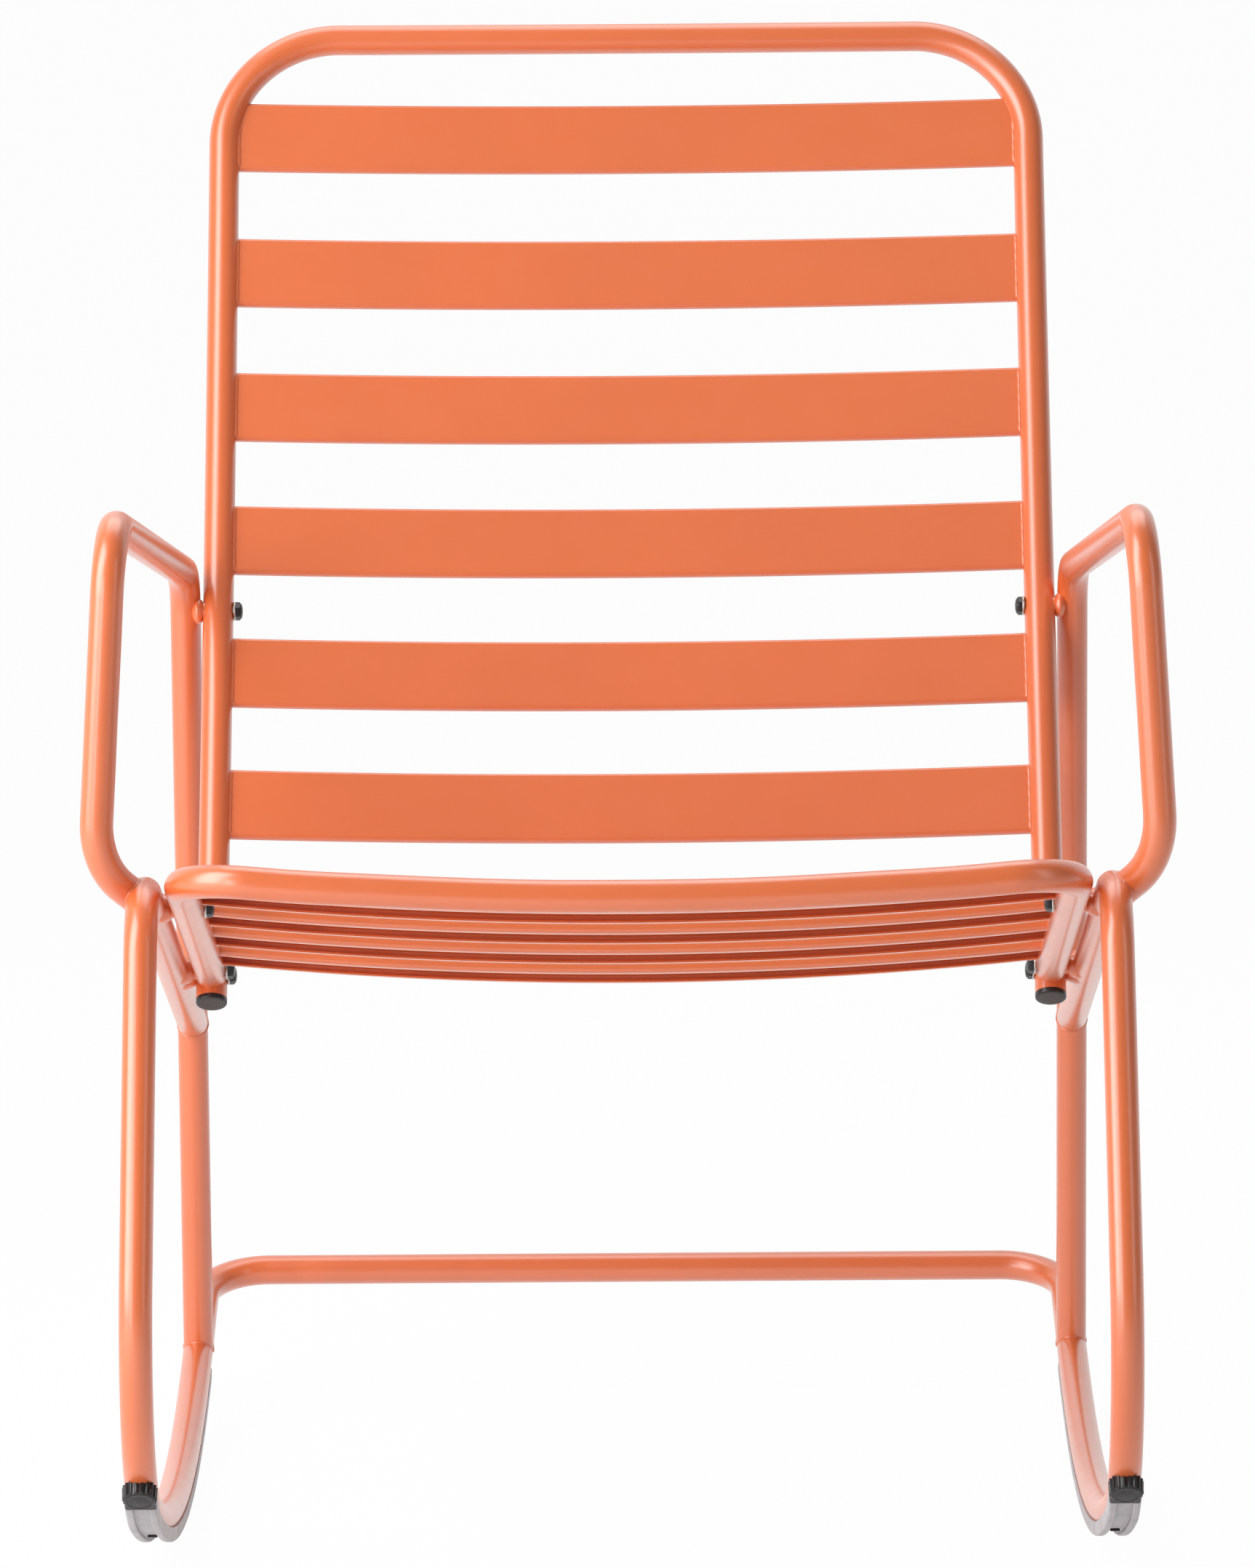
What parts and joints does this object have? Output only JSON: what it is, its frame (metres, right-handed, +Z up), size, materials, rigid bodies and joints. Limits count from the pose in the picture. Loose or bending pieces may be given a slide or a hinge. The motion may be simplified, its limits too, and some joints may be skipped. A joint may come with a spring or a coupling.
{
  "type": "garden rocking chair",
  "caption": "Low garden rocking chair of bent steel tube with bowed channel slats across the seat and reclined back, loop arms and curved rockers on plastic glides.",
  "frame": {"origin": "on the floor, under the middle of the chair's width and depth", "axes": "+Z up; the sitter faces -Y; +X is the right of a viewer who faces the chair"},
  "size_m": [0.6536, 0.8536, 0.9335],
  "materials": {
    "orange_coat": "satin powder coat",
    "zinc_steel": "zinc plated",
    "black_plastic": "moulded, matt",
    "grey_plastic": "extruded, matt"
  },
  "bodies": {
    "root": {"back_frame": "orange_coat", "seat_frame": "orange_coat", "left_front_leg": "orange_coat", "right_front_leg": "orange_coat", "left_arm": "orange_coat", "right_arm": "orange_coat", "rocker_base": "orange_coat", "arm_bosses": "orange_coat", "back_bosses": "orange_coat", "seat_front_bosses": "orange_coat", "seat_rear_bosses": "orange_coat", "back_slat_1": "orange_coat", "back_slat_2": "orange_coat", "back_slat_3": "orange_coat", "back_slat_4": "orange_coat", "back_slat_5": "orange_coat", "back_slat_6": "orange_coat", "seat_slat_1": "orange_coat", "seat_slat_2": "orange_coat", "seat_slat_3": "orange_coat", "seat_slat_4": "orange_coat", "arm_studs": "zinc_steel", "back_studs": "zinc_steel", "seat_front_studs": "zinc_steel", "seat_rear_studs": "zinc_steel", "washers": "zinc_steel", "cap_nuts": "black_plastic", "glide_screws": "black_plastic", "left_front_stop": "black_plastic", "right_front_stop": "black_plastic", "left_upright_plug": "black_plastic", "right_upright_plug": "black_plastic", "left_glide_cap": "black_plastic", "right_glide_cap": "black_plastic", "left_rocker_glide": "grey_plastic", "right_rocker_glide": "grey_plastic"}
  },
  "joints": []
}
